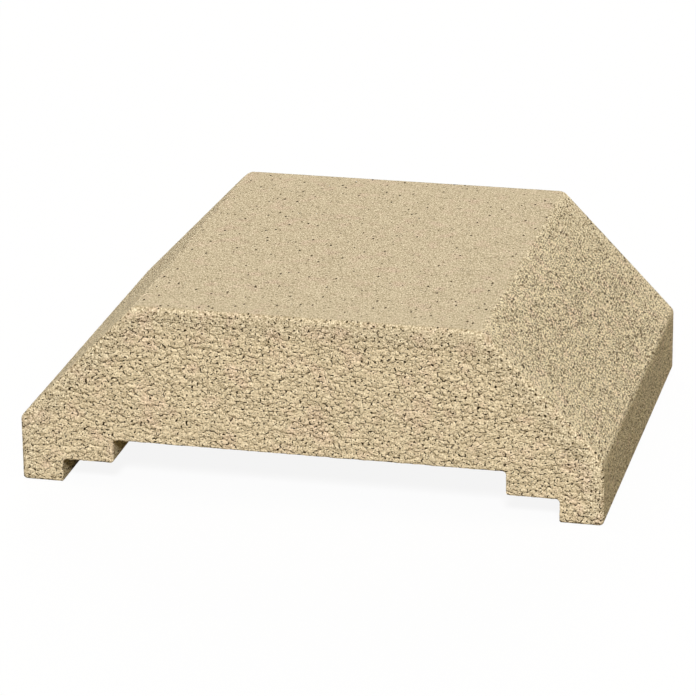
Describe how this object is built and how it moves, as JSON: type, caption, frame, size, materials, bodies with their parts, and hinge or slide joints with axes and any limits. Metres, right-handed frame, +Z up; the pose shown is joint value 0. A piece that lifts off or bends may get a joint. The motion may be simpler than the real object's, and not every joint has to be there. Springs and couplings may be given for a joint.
{
  "type": "wall coping stone",
  "caption": "Cast concrete wall coping stone with a flat crown, weathered side slopes and a stepped rebate underneath that seats on the wall head, with nibs over the wall's faces.",
  "frame": {"origin": "middle of the footprint, on the plane of the two nibs' undersides", "axes": "+X across the wall, +Y along the wall, +Z up towards the flat crown"},
  "size_m": [0.3, 0.23, 0.098],
  "materials": {
    "cast_stone": "sand-coloured concrete, fine grained on the crown and slopes, coarse open grained on the ends"
  },
  "bodies": {
    "root": {"coping_stone": "cast_stone"}
  },
  "joints": []
}
